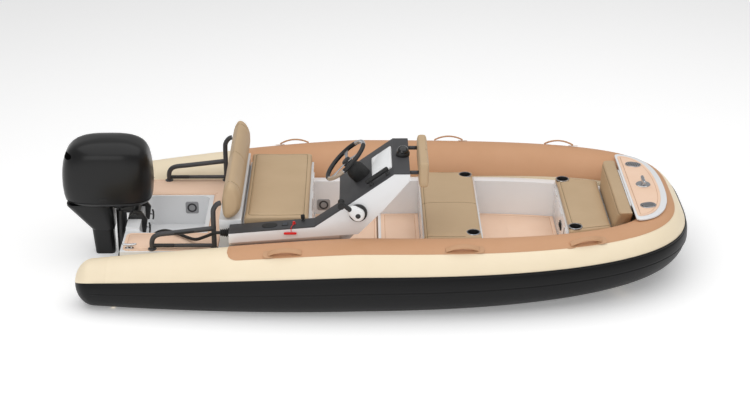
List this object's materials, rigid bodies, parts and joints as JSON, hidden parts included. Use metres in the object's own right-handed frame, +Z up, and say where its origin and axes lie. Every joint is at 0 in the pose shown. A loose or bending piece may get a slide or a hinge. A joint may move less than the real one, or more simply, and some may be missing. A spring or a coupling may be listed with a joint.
{
  "type": "inflatable rib boat",
  "caption": "Rigid inflatable boat with side console, three bench seats and a tilting outboard engine, shown afloat.",
  "frame": {"origin": "amidships on the centreline at the level of the water when the boat floats empty", "axes": "+X towards the bow, +Y to port, +Z up"},
  "size_m": [4.1913, 2.1354, 1.4921],
  "materials": {
    "black_gelcoat": "gloss",
    "white_gelcoat": "gloss",
    "foam_deck": "matte",
    "cream_fabric": "satin",
    "black_strake": "satin",
    "tan_cover": "matte",
    "webbing": "woven",
    "grey_tube": "satin",
    "taupe_vinyl": "grained",
    "black_plastic": "moulded",
    "grey_trim": "satin",
    "stainless": "polished",
    "grey_plastic": "moulded",
    "screen": "gloss",
    "red_plastic": "moulded",
    "engine_paint": "gloss",
    "bracket_paint": "satin",
    "engine_block": "cast",
    "hose_rubber": "matte"
  },
  "bodies": {
    "boat": {"hull_shell": "black_gelcoat", "deck_liner": "white_gelcoat", "cockpit_mat": "foam_deck", "aft_deck_mat": "foam_deck", "tube_port": "cream_fabric", "tube_starboard": "cream_fabric", "tube_bow": "cream_fabric", "rubbing_strake": "black_strake", "tube_wrap": "tan_cover", "tube_handles": "webbing", "stern_rails": "grey_tube", "helm_backrest": "taupe_vinyl", "helm_seat_box": "white_gelcoat", "mid_seat_box": "white_gelcoat", "bow_locker": "white_gelcoat", "locker_latch": "black_plastic", "bow_backrest": "taupe_vinyl", "bow_deck": "white_gelcoat", "bow_deck_mat": "foam_deck", "deck_fittings": "stainless", "access_plates": "grey_plastic", "console_body": "white_gelcoat", "console_trim": "grey_trim", "display": "screen", "dash_fittings": "black_plastic", "throttle": "black_plastic", "kill_switch": "red_plastic", "kill_lanyard": "red_plastic", "kill_tag": "red_plastic", "bolster_bars": "grey_tube", "bolster": "taupe_vinyl", "cable_boots": "hose_rubber", "rigging_hose": "hose_rubber", "clamp_bracket": "bracket_paint"},
    "helm_lid": {"helm_seat_lid": "white_gelcoat", "helm_seat_cushion": "taupe_vinyl"},
    "mid_lid": {"mid_seat_lid": "white_gelcoat", "mid_seat_cushion": "taupe_vinyl", "mid_cup_holders": "black_plastic"},
    "bow_lid": {"bow_seat_lid": "white_gelcoat", "bow_seat_cushion": "taupe_vinyl", "bow_cup_holders": "black_plastic"},
    "wheel": {"steering_wheel": "black_plastic"},
    "tilt_unit": {"swivel_bracket": "bracket_paint"},
    "outboard": {"outboard_leg": "engine_paint", "powerhead": "engine_block", "cowl": "engine_paint"},
    "prop": {"propeller": "engine_paint"}
  },
  "joints": [
    {"name": "helm_lid_hinge", "type": "hinge", "parent": "boat", "child": "helm_lid", "pos_m": [-0.4075, 0, 0.412], "axis": [0, 1, 0], "range_deg": [0, 80]},
    {"name": "mid_lid_hinge", "type": "hinge", "parent": "boat", "child": "mid_lid", "pos_m": [0.72, 0, 0.2855], "axis": [0, 1, 0], "range_deg": [0, 80]},
    {"name": "bow_lid_hinge", "type": "hinge", "parent": "boat", "child": "bow_lid", "pos_m": [1.2818, 0, 0.2855], "axis": [0, -1, 0], "range_deg": [0, 80]},
    {"name": "engine_tilt", "type": "hinge", "parent": "boat", "child": "tilt_unit", "pos_m": [-1.6, 0, 0.32], "axis": [0, 1, 0], "range_deg": [0, 60]},
    {"name": "engine_steer", "type": "hinge", "parent": "tilt_unit", "child": "outboard", "pos_m": [-1.71, 0, 0], "axis": [0, 0, 1], "range_deg": [-30, 30]},
    {"name": "propeller_spin", "type": "hinge", "parent": "outboard", "child": "prop", "pos_m": [-1.975, 0, -0.345], "axis": [1, 0, 0], "continuous": true},
    {"name": "wheel_turn", "type": "hinge", "parent": "boat", "child": "wheel", "pos_m": [-0.18, -0.4, 0.836], "axis": [-0.6947, 0, 0.7193], "range_deg": [-545, 545]}
  ],
  "couplings": [
    {"joint": "wheel_turn", "follows": "engine_steer", "ratio": -18}
  ]
}
